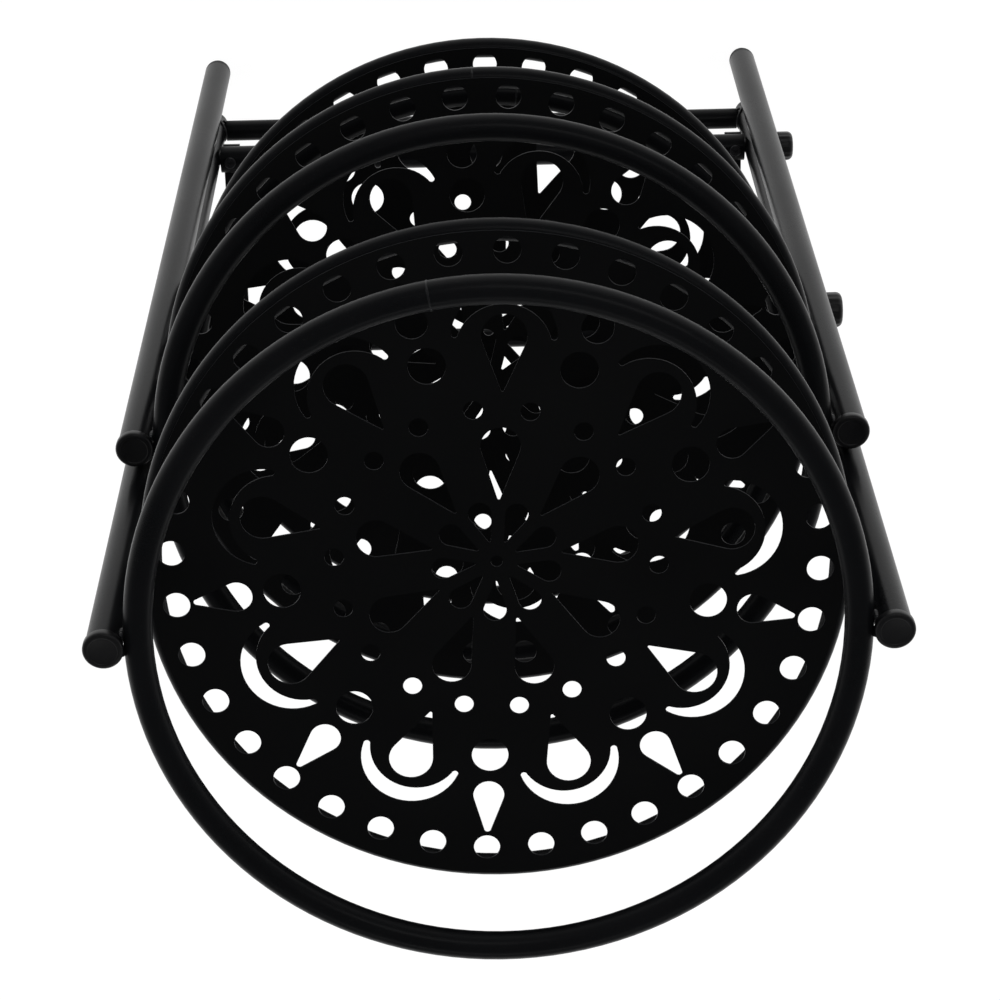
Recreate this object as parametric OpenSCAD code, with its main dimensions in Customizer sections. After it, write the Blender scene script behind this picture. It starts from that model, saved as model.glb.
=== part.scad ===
// Folding three-tier round tray stand of black steel tube.
// Each tier is a punched round tray with a guard hoop above it. The top and
// bottom tiers hang between two rear posts and the middle tier between two
// front posts, so the tiers stand in steps. A pair of swinging rear legs and a
// spreader on an axle hold the stand open.
// Millimetres, +Z up, floor at z = 0, front towards -Y.

/* [Posts] */
// Distance between the left and right post axes
post_spacing = 400; // [396:1:440]
// Outer diameter of the post tube
post_d = 19; // [17:0.5:21]
// Wall of the post tube
post_wall = 1.2; // [0.8:0.1:2]
// Backward lean of the posts from the vertical, in degrees
lean = 4.6; // [2:0.1:7]
// Clear gap between a front post and the rear post behind it
post_gap = 4.6; // [3:0.1:8]
// Rise of the post tubes above the middle of the hoop at their top
post_rise = 5; // [2:1:20]
// Drop of the rear post tubes below the middle of the foot crossbar
post_drop = 12; // [9:1:30]

/* [Tiers] */
// Height of the top guard hoop
top_hoop_z = 840; // [780:1:900]
// Rise of the top guard hoop above the top tray rim
top_guard_rise = 85; // [60:1:110]
// Drop from the top tray rim to the middle guard hoop
middle_drop = 96; // [70:1:120]
// Rise of the middle guard hoop above the middle tray rim
middle_guard_rise = 79; // [60:1:100]
// Drop from the middle tray rim to the bottom guard hoop
bottom_drop = 77; // [60:1:100]
// Rise of the bottom guard hoop above the bottom tray rim
bottom_guard_rise = 80; // [60:1:100]
// How far behind the rear posts' axes the top tray is centred
top_tray_back = 4; // [0:1:10]
// How far behind the front posts' axes the middle tier is centred
middle_tier_back = 6; // [0:1:10]
// How far behind the rear posts' axes the bottom tier is centred
bottom_tier_back = 15; // [0:1:15]
// Outer diameter of the guard hoop tube
hoop_d = 15; // [12:0.5:18]
// Outer diameter of the tray rim tube
rim_d = 12; // [10:0.5:14]
// Wall of the hoop and rim tubes
ring_wall = 1.2; // [0.8:0.1:2]
// Gap between a ring or bar and the tube that it is welded to
weld_gap = 0.3; // [0.2:0.1:0.4]
// Thickness of the tray sheet
sheet_t = 1.2; // [0.8:0.1:2]
// How far the sheet edge stays inside the outer edge of the rim
sheet_inset = 4.5; // [3:0.5:5]

/* [Punched pattern] */
// How far the pattern sits forward of a sheet's middle
pattern_forward = 3; // [0:0.5:4]
// Turn of the pattern on the top tray
top_pattern_turn = -3; // [-20:0.5:20]
// Turn of the pattern on the middle tray
middle_pattern_turn = -14.5; // [-20:0.5:20]
// Turn of the pattern on the bottom tray
bottom_pattern_turn = 19.5; // [-20:0.5:20]
// Repeats of the pattern round the tray
petals = 9; // [8:1:9]
// Diameter of the hole in the middle of the tray
centre_hole_d = 6.5; // [4:0.5:10]
// Distance of the inner drops' round ends from the middle
inner_drop_at = 28.7; // [28:0.1:30]
// Radius of the round end of an inner drop
inner_drop_r = 6.2; // [5:0.1:6.5]
// Length of an inner drop from its tip to its round centre
inner_drop_len = 17.2; // [14:0.1:18]
// Distance of the middle drops' round ends from the middle
middle_drop_at = 65.3; // [64:0.1:66]
// Radius of the round end of a middle drop
middle_drop_r = 10.6; // [9:0.1:11]
// Length of a middle drop from its tip to its round centre
middle_drop_len = 30.3; // [26:0.1:31]
// Distance of the small paired holes in from the sheet edge
pair_hole_in = 99.4; // [98:0.1:100]
// Diameter of a small paired hole
pair_hole_d = 10.3; // [8:0.1:11]
// Distance of the medium holes in from the sheet edge
medium_hole_in = 70.1; // [69:0.1:71]
// Diameter of a medium hole
medium_hole_d = 20; // [16:0.5:21]
// Distance of the large drops' round ends in from the sheet edge
large_drop_in = 59.5; // [58:0.1:61]
// Radius of the round end of a large drop
large_drop_r = 12; // [10:0.1:13]
// Length of a large drop from its tip to its round centre
large_drop_len = 30.5; // [27:0.1:31]
// Outer radius of the crescent round a large drop
crescent_r = 27.6; // [27:0.1:28]
// Width of a crescent at its middle
crescent_w = 9.2; // [8:0.1:9.5]
// Width of a crescent at its ends
crescent_tip_w = 3.6; // [3:0.1:4]
// Distance of the outward drops' round ends in from the sheet edge
outward_drop_in = 45.6; // [44:0.1:47]
// Radius of the round end of an outward drop
outward_drop_r = 8.5; // [7:0.1:9]
// Length of an outward drop from its round centre to its tip
outward_drop_len = 21.5; // [18:0.1:22]
// Distance of the rim holes in from the sheet edge
rim_hole_in = 13.2; // [12.5:0.1:13.5]
// Diameter of a rim hole
rim_hole_d = 14.5; // [12:0.5:15]
// Number of rim holes to one repeat of the pattern
rim_holes_per_petal = 4; // [3:1:4]

/* [Rear legs] */
// Outer diameter of the rear leg tube
leg_d = 15; // [13:0.5:16]
// Wall of the rear leg tube
leg_wall = 1.2; // [0.8:0.1:2]
// Drop from the bottom tray rim to the leg pivot, along the rear post
leg_pivot_drop = 32; // [28:1:50]
// Clear gap between the rear post and a folded leg
leg_gap = 3; // [2.6:0.1:4]
// Angle between an open rear leg and its post, in degrees
leg_open = 26; // [22:1:30]
// Thickness of a hinge plate
plate_t = 3; // [2:0.5:4]
// Height of a hinge plate
plate_h = 24; // [20:1:26]
// Diameter of the pivot bolts
bolt_d = 6; // [5:0.5:7]
// Outer diameter of the washers and spacers on the pivot bolts
bolt_washer_d = 12; // [11:0.5:16]
// Outer diameter of the tube that joins the rear legs
leg_bar_d = 15; // [13:0.5:17]
// Radius of the rounded rear feet
leg_foot_r = 9; // [8.5:0.5:11]

/* [Spreader] */
// Outer diameter of the spreader tube
spreader_d = 19; // [17:0.5:21]
// Wall of the spreader tube
spreader_wall = 1.5; // [1:0.1:2.5]
// Height of the spreader axle
axle_z = 134; // [110:1:135]
// Diameter of the spreader axle
axle_d = 8; // [6:0.5:8.5]
// Outer diameter of the washer on the axle
axle_washer_d = 22; // [16:0.5:24]
// Length of the bush in each end of the spreader
bush_len = 20; // [16:1:40]
// Width of a spreader arm
arm_w = 12; // [8:1:14]
// Thickness of a spreader arm
arm_t = 3; // [2:0.5:4]
// Distance from the outer edge of an arm to the post beside it
arm_inset = 1.5; // [1:0.5:2.5]
// Length of an arm in front of the axle
arm_front = 8; // [6:1:12]
// Diameter of the hole in a spreader arm
arm_hole_d = 4; // [3:0.5:5]
// Distance of that hole behind the axle
arm_hole_back = 22; // [18:1:40]
// Length of the turned-down tip of an arm
arm_tip = 14; // [8:1:20]
// Diameter of the rivets and screws of the spreader
rivet_d = 4; // [3:0.5:5]
// Diameter of their heads
rivet_head_d = 8; // [7:0.5:9]
// Thickness of their heads
rivet_head_t = 1.6; // [1:0.1:2.5]

/* [Bars and caps] */
// Outer diameter of the crossbar between the rear posts' lower ends
foot_bar_d = 15; // [12:0.5:17]
// Height of that crossbar
foot_bar_z = 72; // [64:1:72]
// Wall of the crossbars
bar_wall = 1.2; // [0.8:0.1:2]
// Diameter of the spacers between the front and rear posts
spacer_d = 10; // [8:1:12]
// Number of those spacers on each side
spacer_count = 3; // [2:1:5]
// Height of the lowest spacer
spacer_low_z = 96; // [80:1:110]
// Drop from the middle guard hoop to the highest spacer
spacer_drop = 40; // [25:1:60]
// Thickness of the flange of an end cap
cap_t = 3; // [2:0.5:5]
// Length of the cap's plug inside the tube
plug_len = 14; // [8:1:20]
// Rounding of the cap's edge
cap_edge = 1; // [0.5:0.1:1.4]
// Width of the flat under a rounded foot
foot_flat_d = 7; // [5:0.5:9]
// Length of the straight collar above a rounded foot
foot_collar = 3; // [2:0.5:8]

/* [Hidden] */
$fn = 64;

left = -1;
right = 1;
sides = [left, right];

// Colours
steel = "#26272a";
sheet_steel = "#17181a";
plastic = "#2e3033";
rubber = "#3a3c40";
nylon = "#1c1d1f";
fastener = "#34363a";

// Clearances
seat = 0.2;         // a plug in its tube, a washer on its face, a sheet on its rim
running = 0.05;     // a shaft in the bore that it turns in, on the radius
play = 0.2;         // a bolt in a plain hole, on the radius
stop_gap = 0.3;     // faces that rest on or pass each other
end_gap = 0.5;      // the end of the spreader to the post

// Proportions of fasteners, as multiples of their thread diameter
nut_flats_ratio = 1.65;
nut_height_ratio = 0.65;
nut_dome_ratio = 0.72;
nut_bore_ratio = 0.9;
head_width_ratio = 2;
head_height_ratio = 0.4;
head_edge_ratio = 0.125;
socket_flats_ratio = 0.66;
socket_depth_ratio = 0.28;

washer_t = 1.3;
leg_plug_t = 2;     // flange of the plug in the top of a leg
cross_slot_w = 0.9; // slot of the cross in a bush screw's head
drop_tip_r = 0.8;   // rounding of the drops' tips
outward_tip_r = 1.8;
crescent_back = 1;  // centre of a crescent's outer arc, inward of the drop's
past = 1;           // how far a cut runs past the face that it opens

// Rings: all have one outer radius, so that they just fit between the posts
ring_outer_r = post_spacing / 2 - post_d / 2 - weld_gap;
sheet_r = ring_outer_r - sheet_inset;
top_tray_z = top_hoop_z - top_guard_rise;
middle_hoop_z = top_tray_z - middle_drop;
middle_tray_z = middle_hoop_z - middle_guard_rise;
bottom_hoop_z = middle_tray_z - bottom_drop;
bottom_tray_z = bottom_hoop_z - bottom_guard_rise;

// The post frame has its origin on a post axis at the floor, its Z along the
// post and its Y square to the post, to the rear.
post_pitch = post_d + post_gap;
function along(z) = z / cos(lean);
function rise_y(z) = z * tan(lean);

// Leg pivot, in the post frame and in the stand's frame
leg_pivot_up = along(bottom_tray_z) - leg_pivot_drop;
leg_pivot_back = post_d / 2 + leg_gap + leg_d / 2;
leg_tilt = leg_open - lean;
pivot_z = leg_pivot_up * cos(lean) - leg_pivot_back * sin(lean);
pivot_y = leg_pivot_up * sin(lean) + leg_pivot_back * cos(lean);

// A round foot of radius r, cut by the floor to a flat of foot_flat_d
function foot_centre_z(r) = sqrt(pow(r, 2) - pow(foot_flat_d / 2, 2));
front_foot_up = along(foot_centre_z(post_d / 2));
leg_foot_down = (pivot_z - foot_centre_z(leg_foot_r)) / cos(leg_tilt);

// A leg opens until the corner of its top comes up to the post
leg_top_up = (leg_gap + leg_d / 2 * (1 - cos(leg_open)) - stop_gap) / sin(leg_open);
leg_plug_len = leg_top_up - leg_plug_t - bolt_d / 2 - 2 * stop_gap;

// The arms lie level under the spreader tube and on the leg crossbar
arm_top_z = axle_z - spreader_d / 2 - seat;
leg_bar_z = arm_top_z - arm_t - stop_gap - leg_bar_d / 2;
leg_bar_down = (pivot_z - leg_bar_z) / cos(leg_tilt);

// Middles of the rings in y, and the reach of the stand, both from where the
// rear post axes meet the floor
middle_shift = middle_tier_back - post_pitch / cos(lean);
ring_ys = [
    rise_y(top_hoop_z), rise_y(top_tray_z) + top_tray_back,
    rise_y(middle_hoop_z) + middle_shift, rise_y(middle_tray_z) + middle_shift,
    rise_y(bottom_hoop_z) + bottom_tier_back, rise_y(bottom_tray_z) + bottom_tier_back
];
front_reach = min(ring_ys) - ring_outer_r;
rear_reach = max(max(ring_ys) + ring_outer_r, pivot_y + leg_foot_down * sin(leg_tilt) + leg_foot_r);

// The origin is midway between the front-most and rear-most points
rear_y0 = -(front_reach + rear_reach) / 2;
front_y0 = rear_y0 - post_pitch / cos(lean);
function rear_y(z) = rear_y0 + rise_y(z);

arm_x = post_spacing / 2 - post_d / 2 - arm_inset - arm_w / 2;
leg_bar_y = rear_y0 + pivot_y + leg_bar_down * sin(leg_tilt);
arm_end_y = leg_bar_y + leg_bar_d / 2 + stop_gap + arm_t;
bar_half = post_spacing / 2 - post_d / 2 - weld_gap;
spreader_half = post_spacing / 2 - post_d / 2 - end_gap;
leg_bar_half = post_spacing / 2 - leg_d / 2 - weld_gap;
cheek_in = post_d / 2 + weld_gap;
cheek_out = cheek_in + plate_t;

// ---- Shapes that repeat ----

module tube(d, wall, len) {
    difference() {
        cylinder(d = d, h = len);
        translate([0, 0, -past]) cylinder(d = d - 2 * wall, h = len + 2 * past);
    }
}

module tube_x(d, wall, half) {
    translate([-half, 0, 0]) rotate([0, 90, 0]) tube(d, wall, 2 * half);
}

// Hollow ring lying level round the origin
module ring(d) {
    rotate_extrude() translate([ring_outer_r - d / 2, 0]) difference() {
        circle(d = d);
        circle(d = d - 2 * ring_wall);
    }
}

// Round disc with its upper edge rounded
module rounded_disc(d, t, edge) {
    rotate_extrude() {
        square([d / 2 - edge, t]);
        square([d / 2, t - edge]);
        translate([d / 2 - edge, t - edge]) circle(r = edge);
    }
}

// Places children in the frame of a post whose axis meets the floor at y0
module on_post(side, y0) {
    translate([side * post_spacing / 2, y0, 0]) rotate([-lean, 0, 0]) children();
}

// Places children at a leg pivot, with -Z running down the open leg
module at_leg(x) {
    translate([x, rear_y0, 0]) rotate([-lean, 0, 0])
        translate([0, leg_pivot_back, leg_pivot_up]) rotate([leg_open, 0, 0]) children();
}

// Cap on a tube that ends at z = 0
module end_cap(d, wall) {
    translate([0, 0, seat]) rounded_disc(d, cap_t, cap_edge);
    translate([0, 0, -plug_len]) cylinder(d = d - 2 * wall - 2 * seat, h = plug_len + seat);
}

// Rounded foot with its ball at z = 0 and a plug for the tube above it
module foot(r, d, wall) {
    intersection() {
        sphere(r = r);
        translate([0, 0, -r]) cylinder(r = r, h = r);
    }
    cylinder(r = r, h = foot_collar);
    cylinder(d = d - 2 * wall - 2 * seat, h = foot_collar + seat + plug_len);
}

// Cuts children off at the floor
module on_floor() {
    difference() {
        children();
        translate([-post_spacing, -post_spacing, -post_spacing])
            cube([2 * post_spacing, 2 * post_spacing, post_spacing]);
    }
}

// Low round head with a hexagon socket, standing on z = 0
module socket_head(d) {
    difference() {
        rounded_disc(head_width_ratio * d, head_height_ratio * d, head_edge_ratio * d);
        translate([0, 0, (head_height_ratio - socket_depth_ratio) * d])
            cylinder(d = socket_flats_ratio * d / cos(30), h = d, $fn = 6);
    }
}

// Round-headed bolt along X, with its head on the right
module bolt(d, reach_right, reach_left) {
    translate([reach_right, 0, 0]) rotate([0, 90, 0]) socket_head(d);
    translate([-reach_left, 0, 0]) rotate([0, 90, 0]) cylinder(d = d, h = reach_left + reach_right);
}

// Low round head of a rivet, standing on z = 0
module rivet_head() {
    rounded_disc(rivet_head_d, rivet_head_t, head_edge_ratio * rivet_d);
}

// Dome nut along X, with its face at x = 0 and its dome to the left
module dome_nut(d) {
    rotate([0, -90, 0]) difference() {
        union() {
            cylinder(d = nut_flats_ratio * d / cos(30), h = nut_height_ratio * d, $fn = 6);
            translate([0, 0, nut_height_ratio * d]) intersection() {
                sphere(r = nut_dome_ratio * d);
                cylinder(r = nut_dome_ratio * d, h = nut_dome_ratio * d);
            }
        }
        translate([0, 0, -past]) cylinder(r = d / 2 + running, h = nut_bore_ratio * d + past);
    }
}

// Washer along X, centred on x = 0
module washer(d, hole_d, t) {
    rotate([0, 90, 0]) difference() {
        cylinder(d = d, h = t, center = true);
        cylinder(d = hole_d, h = t + 2 * past, center = true);
    }
}

// ---- Trays ----

// Angles along an arc, from one end to the other
function arc_steps(from, to) =
    let(n = ceil((to - from) / 12)) [for (i = [0 : n]) from + (to - from) * i / n];

// Drop with its round end at the origin and its tip at -Y
module drop(r, len, tip_r) {
    slope = asin((r - tip_r) / (len - tip_r));
    tip_y = tip_r - len;
    polygon(concat(
        [for (a = arc_steps(-slope, 180 + slope)) [r * cos(a), r * sin(a)]],
        [for (a = arc_steps(180 + slope, 360 - slope)) [tip_r * cos(a), tip_y + tip_r * sin(a)]]
    ));
}

// Crescent round the origin, open to -Y
module crescent() {
    half = sqrt(pow(crescent_r, 2) - pow(crescent_back, 2));
    inner_half = half - crescent_tip_w;
    inner_top = crescent_r - crescent_back - crescent_w;
    inner_r = (pow(inner_half, 2) / inner_top + inner_top) / 2;
    difference() {
        translate([0, -crescent_back]) circle(r = crescent_r);
        translate([0, inner_top - inner_r]) circle(r = inner_r);
        translate([-2 * crescent_r, -4 * crescent_r]) square(4 * crescent_r);
    }
    for (side = sides)
        translate([side * (half - crescent_tip_w / 2), 0]) circle(d = crescent_tip_w);
}

// One repeat of the pattern, about the +Y direction
module petal() {
    step = 360 / petals;
    translate([0, inner_drop_at]) drop(inner_drop_r, inner_drop_len, drop_tip_r);
    translate([0, sheet_r - medium_hole_in]) circle(d = medium_hole_d);
    translate([0, sheet_r - outward_drop_in]) rotate(180)
        drop(outward_drop_r, outward_drop_len + outward_tip_r, outward_tip_r);
    for (side = sides) rotate(side * step / 4)
        translate([0, sheet_r - pair_hole_in]) circle(d = pair_hole_d);
    rotate(step / 2) {
        translate([0, middle_drop_at]) drop(middle_drop_r, middle_drop_len, drop_tip_r);
        translate([0, sheet_r - large_drop_in]) {
            drop(large_drop_r, large_drop_len, drop_tip_r);
            crescent();
        }
    }
    for (i = [0 : rim_holes_per_petal - 1]) rotate(i * step / rim_holes_per_petal)
        translate([0, sheet_r - rim_hole_in]) circle(d = rim_hole_d);
}

module tray_rim(z, y) {
    color(steel) translate([0, y, z]) ring(rim_d);
}

module tray_sheet(z, y, turn) {
    color(sheet_steel) translate([0, y, z + rim_d / 2 + seat]) linear_extrude(sheet_t) difference() {
        circle(r = sheet_r);
        translate([0, -pattern_forward]) rotate(turn) {
            circle(d = centre_hole_d);
            for (i = [0 : petals - 1]) rotate(i * 360 / petals) petal();
        }
    }
}

module guard_hoop(z, y) {
    color(steel) translate([0, y, z]) ring(hoop_d);
}

module top_guard_hoop() { guard_hoop(top_hoop_z, rear_y0 + ring_ys[0]); }
module top_tray_rim() { tray_rim(top_tray_z, rear_y0 + ring_ys[1]); }
module top_tray_sheet() { tray_sheet(top_tray_z, rear_y0 + ring_ys[1], top_pattern_turn); }

module middle_guard_hoop() { guard_hoop(middle_hoop_z, rear_y0 + ring_ys[2]); }
module middle_tray_rim() { tray_rim(middle_tray_z, rear_y0 + ring_ys[3]); }
module middle_tray_sheet() { tray_sheet(middle_tray_z, rear_y0 + ring_ys[3], middle_pattern_turn); }

module bottom_guard_hoop() { guard_hoop(bottom_hoop_z, rear_y0 + ring_ys[4]); }
module bottom_tray_rim() { tray_rim(bottom_tray_z, rear_y0 + ring_ys[5]); }
module bottom_tray_sheet() { tray_sheet(bottom_tray_z, rear_y0 + ring_ys[5], bottom_pattern_turn); }

// ---- Posts ----

rear_post_low = along(foot_bar_z) - post_drop;
rear_post_high = along(top_hoop_z) + post_rise;
front_post_low = front_foot_up + foot_collar + seat;
front_post_high = along(middle_hoop_z) + post_rise;

module post(low, high) {
    translate([0, 0, low]) tube(post_d, post_wall, high - low);
}

// A rear post is drilled for the spreader axle
module rear_post(side) {
    color(steel) on_post(side, rear_y0) difference() {
        post(rear_post_low, rear_post_high);
        translate([-post_d, 0, along(axle_z)]) rotate([0, 90, 0])
            cylinder(r = axle_d / 2 + play, h = 2 * post_d);
    }
}

module front_post(side) {
    color(steel) on_post(side, front_y0) post(front_post_low, front_post_high);
}

module rear_post_left() { rear_post(left); }
module rear_post_right() { rear_post(right); }
module front_post_left() { front_post(left); }
module front_post_right() { front_post(right); }

module foot_crossbar() {
    color(steel) translate([0, rear_y(foot_bar_z), foot_bar_z]) tube_x(foot_bar_d, bar_wall, bar_half);
}

module post_spacers() {
    pitch = (middle_hoop_z - spacer_drop - spacer_low_z) / (spacer_count - 1);
    color(steel) for (side = sides, i = [0 : spacer_count - 1]) on_post(side, rear_y0)
        translate([0, -post_d / 2 - weld_gap, along(spacer_low_z + i * pitch)]) rotate([90, 0, 0])
            cylinder(d = spacer_d, h = post_gap - 2 * weld_gap);
}

module rear_post_top_caps() {
    color(plastic) for (side = sides) on_post(side, rear_y0)
        translate([0, 0, rear_post_high]) end_cap(post_d, post_wall);
}

module rear_post_bottom_caps() {
    color(plastic) for (side = sides) on_post(side, rear_y0)
        translate([0, 0, rear_post_low]) rotate([180, 0, 0]) end_cap(post_d, post_wall);
}

module front_post_top_caps() {
    color(plastic) for (side = sides) on_post(side, front_y0)
        translate([0, 0, front_post_high]) end_cap(post_d, post_wall);
}

module front_post_feet() {
    color(rubber) for (side = sides) on_floor() on_post(side, front_y0)
        translate([0, 0, front_foot_up]) foot(post_d / 2, post_d, post_wall);
}

// ---- Rear legs ----

// Cheek from the post's centre line to round the pivot
module hinge_plate() {
    rotate([90, 0, 90]) linear_extrude(plate_t) difference() {
        union() {
            translate([0, -plate_h / 2]) square([leg_pivot_back, plate_h]);
            translate([leg_pivot_back, 0]) circle(d = plate_h);
        }
        translate([leg_pivot_back, 0]) circle(r = bolt_d / 2 + play);
    }
}

module leg_hinge_plates(side) {
    color(steel) on_post(side, rear_y0) for (x = [cheek_in, -cheek_out])
        translate([x, 0, leg_pivot_up]) hinge_plate();
}

module leg_hinge_plates_left() { leg_hinge_plates(left); }
module leg_hinge_plates_right() { leg_hinge_plates(right); }

// Both bolts go in from the right, so the nuts are on the left of each leg
nut_face = cheek_out + 2 * seat + washer_t;

module leg_pivot_bolts() {
    color(fastener) for (side = sides) at_leg(side * post_spacing / 2)
        bolt(bolt_d, cheek_out + seat, nut_face + nut_height_ratio * bolt_d);
}

module leg_pivot_nuts() {
    color(fastener) for (side = sides) at_leg(side * post_spacing / 2)
        translate([-nut_face - seat, 0, 0]) dome_nut(bolt_d);
}

module leg_pivot_washers() {
    color(fastener) for (side = sides) at_leg(side * post_spacing / 2)
        translate([-cheek_out - seat - washer_t / 2, 0, 0])
            washer(bolt_washer_d, bolt_d + 2 * play, washer_t);
}

// Spacers that keep a leg in the middle between its two plates
module leg_pivot_spacers() {
    room = cheek_in - leg_d / 2;
    color(nylon) for (side = sides, face = sides) at_leg(side * post_spacing / 2)
        translate([face * (leg_d / 2 + room / 2), 0, 0])
            washer(bolt_washer_d, bolt_d + 2 * play, room - stop_gap);
}

module rear_leg(side) {
    top = leg_top_up - leg_plug_t - seat;
    bottom = leg_foot_down - foot_collar - seat;
    color(steel) at_leg(side * post_spacing / 2) difference() {
        translate([0, 0, -bottom]) tube(leg_d, leg_wall, bottom + top);
        translate([-leg_d, 0, 0]) rotate([0, 90, 0]) cylinder(r = bolt_d / 2 + running, h = 2 * leg_d);
    }
}

module rear_leg_left() { rear_leg(left); }
module rear_leg_right() { rear_leg(right); }

module leg_crossbar() {
    color(steel) at_leg(0) translate([0, 0, -leg_bar_down]) tube_x(leg_bar_d, bar_wall, leg_bar_half);
}

module leg_top_plugs() {
    color(plastic) for (side = sides) at_leg(side * post_spacing / 2)
        translate([0, 0, leg_top_up - leg_plug_t]) {
            cylinder(d = leg_d, h = leg_plug_t);
            translate([0, 0, -leg_plug_len])
                cylinder(d = leg_d - 2 * leg_wall - 2 * seat, h = leg_plug_len);
        }
}

module leg_feet() {
    color(rubber) for (side = sides) on_floor() at_leg(side * post_spacing / 2)
        translate([0, 0, -leg_foot_down]) foot(leg_foot_r, leg_d, leg_wall);
}

// ---- Spreader ----

// Places children at the middle of the axle
module at_axle() {
    translate([0, rear_y(axle_z), axle_z]) children();
}

bush_d = spreader_d - 2 * spreader_wall - 2 * seat;
screw_depth = (bush_d / 2 - axle_d / 2) / 2;

// Upright hole at each end of the spreader, above the axle for a bush screw
// and below it for a rivet
module fastener_holes() {
    for (side = sides) translate([side * arm_x, 0, 0])
        cylinder(r = rivet_d / 2 + play, h = 2 * spreader_d, center = true);
}

module spreader_bar() {
    color(steel) at_axle() difference() {
        tube_x(spreader_d, spreader_wall, spreader_half);
        fastener_holes();
    }
}

module spreader_bushes() {
    color(nylon) at_axle() difference() {
        for (side = sides) translate([side * (spreader_half - bush_len / 2), 0, 0])
            washer(bush_d, axle_d + 2 * running, bush_len);
        fastener_holes();
    }
}

// Screws through the top of the tube into the bushes
module spreader_bush_screws() {
    color(fastener) at_axle() for (side = sides) translate([side * arm_x, 0, 0]) {
        translate([0, 0, spreader_d / 2 + seat]) difference() {
            rivet_head();
            for (turn = [0, 90]) rotate(turn) translate([0, 0, rivet_head_t])
                cube([rivet_d, cross_slot_w, rivet_head_t], center = true);
        }
        translate([0, 0, bush_d / 2 - screw_depth])
            cylinder(d = rivet_d, h = spreader_d / 2 + seat - bush_d / 2 + screw_depth);
    }
}

// Level strip from under the spreader to the leg crossbar, with its tip turned
// down behind that bar
module spreader_arm(side) {
    axle_y = rear_y(axle_z);
    color(steel) translate([side * arm_x, 0, arm_top_z]) {
        difference() {
            translate([-arm_w / 2, axle_y - arm_front, -arm_t])
                cube([arm_w, arm_end_y - axle_y + arm_front, arm_t]);
            translate([0, axle_y, -arm_t / 2])
                cylinder(r = rivet_d / 2 + play, h = arm_t + 2 * past, center = true);
            translate([0, axle_y + arm_hole_back, -arm_t / 2])
                cylinder(d = arm_hole_d, h = arm_t + 2 * past, center = true);
        }
        translate([-arm_w / 2, arm_end_y - arm_t, -arm_tip]) cube([arm_w, arm_t, arm_tip]);
    }
}

module spreader_arm_left() { spreader_arm(left); }
module spreader_arm_right() { spreader_arm(right); }

// Rivets that hold the arms under the tube
module spreader_rivets() {
    under = spreader_d / 2 + 2 * seat + arm_t;
    color(fastener) at_axle() for (side = sides) translate([side * arm_x, 0, 0]) mirror([0, 0, 1]) {
        translate([0, 0, under]) rivet_head();
        translate([0, 0, bush_d / 2 - screw_depth])
            cylinder(d = rivet_d, h = under - bush_d / 2 + screw_depth);
    }
}

post_face = post_spacing / 2 + post_d / 2;

module spreader_axle() {
    color(fastener) at_axle()
        bolt(axle_d, post_face + seat, post_face + 3 * seat + washer_t + nut_height_ratio * axle_d);
}

module spreader_axle_washer() {
    color(fastener) at_axle() translate([-post_face - seat - washer_t / 2, 0, 0])
        washer(axle_washer_d, axle_d + 2 * play, washer_t);
}

module spreader_axle_nut() {
    color(fastener) at_axle() translate([-post_face - 2 * seat - washer_t, 0, 0]) dome_nut(axle_d);
}

top_guard_hoop();
top_tray_rim();
top_tray_sheet();
middle_guard_hoop();
middle_tray_rim();
middle_tray_sheet();
bottom_guard_hoop();
bottom_tray_rim();
bottom_tray_sheet();
rear_post_left();
rear_post_right();
front_post_left();
front_post_right();
foot_crossbar();
post_spacers();
rear_post_top_caps();
rear_post_bottom_caps();
front_post_top_caps();
front_post_feet();
leg_hinge_plates_left();
leg_hinge_plates_right();
leg_pivot_bolts();
leg_pivot_nuts();
leg_pivot_washers();
leg_pivot_spacers();
rear_leg_left();
rear_leg_right();
leg_crossbar();
leg_top_plugs();
leg_feet();
spreader_bar();
spreader_bushes();
spreader_bush_screws();
spreader_arm_left();
spreader_arm_right();
spreader_rivets();
spreader_axle();
spreader_axle_washer();
spreader_axle_nut();
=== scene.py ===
# %% [markdown]
# # A three-tier umbrella stand in black tube
#
# Two pairs of leaning tube posts carry three round trays of punched sheet, each
# with a guard hoop above it, and a pair of rear legs folds out behind. The
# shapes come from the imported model, which this lesson loads and never changes.
# What Blender adds is everything that makes steel tube look like steel tube:
# powder coat, weld beads, moulded caps, a floor, soft light and a camera.

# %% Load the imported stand
import math

import bpy
from mathutils import Matrix, Vector


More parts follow.
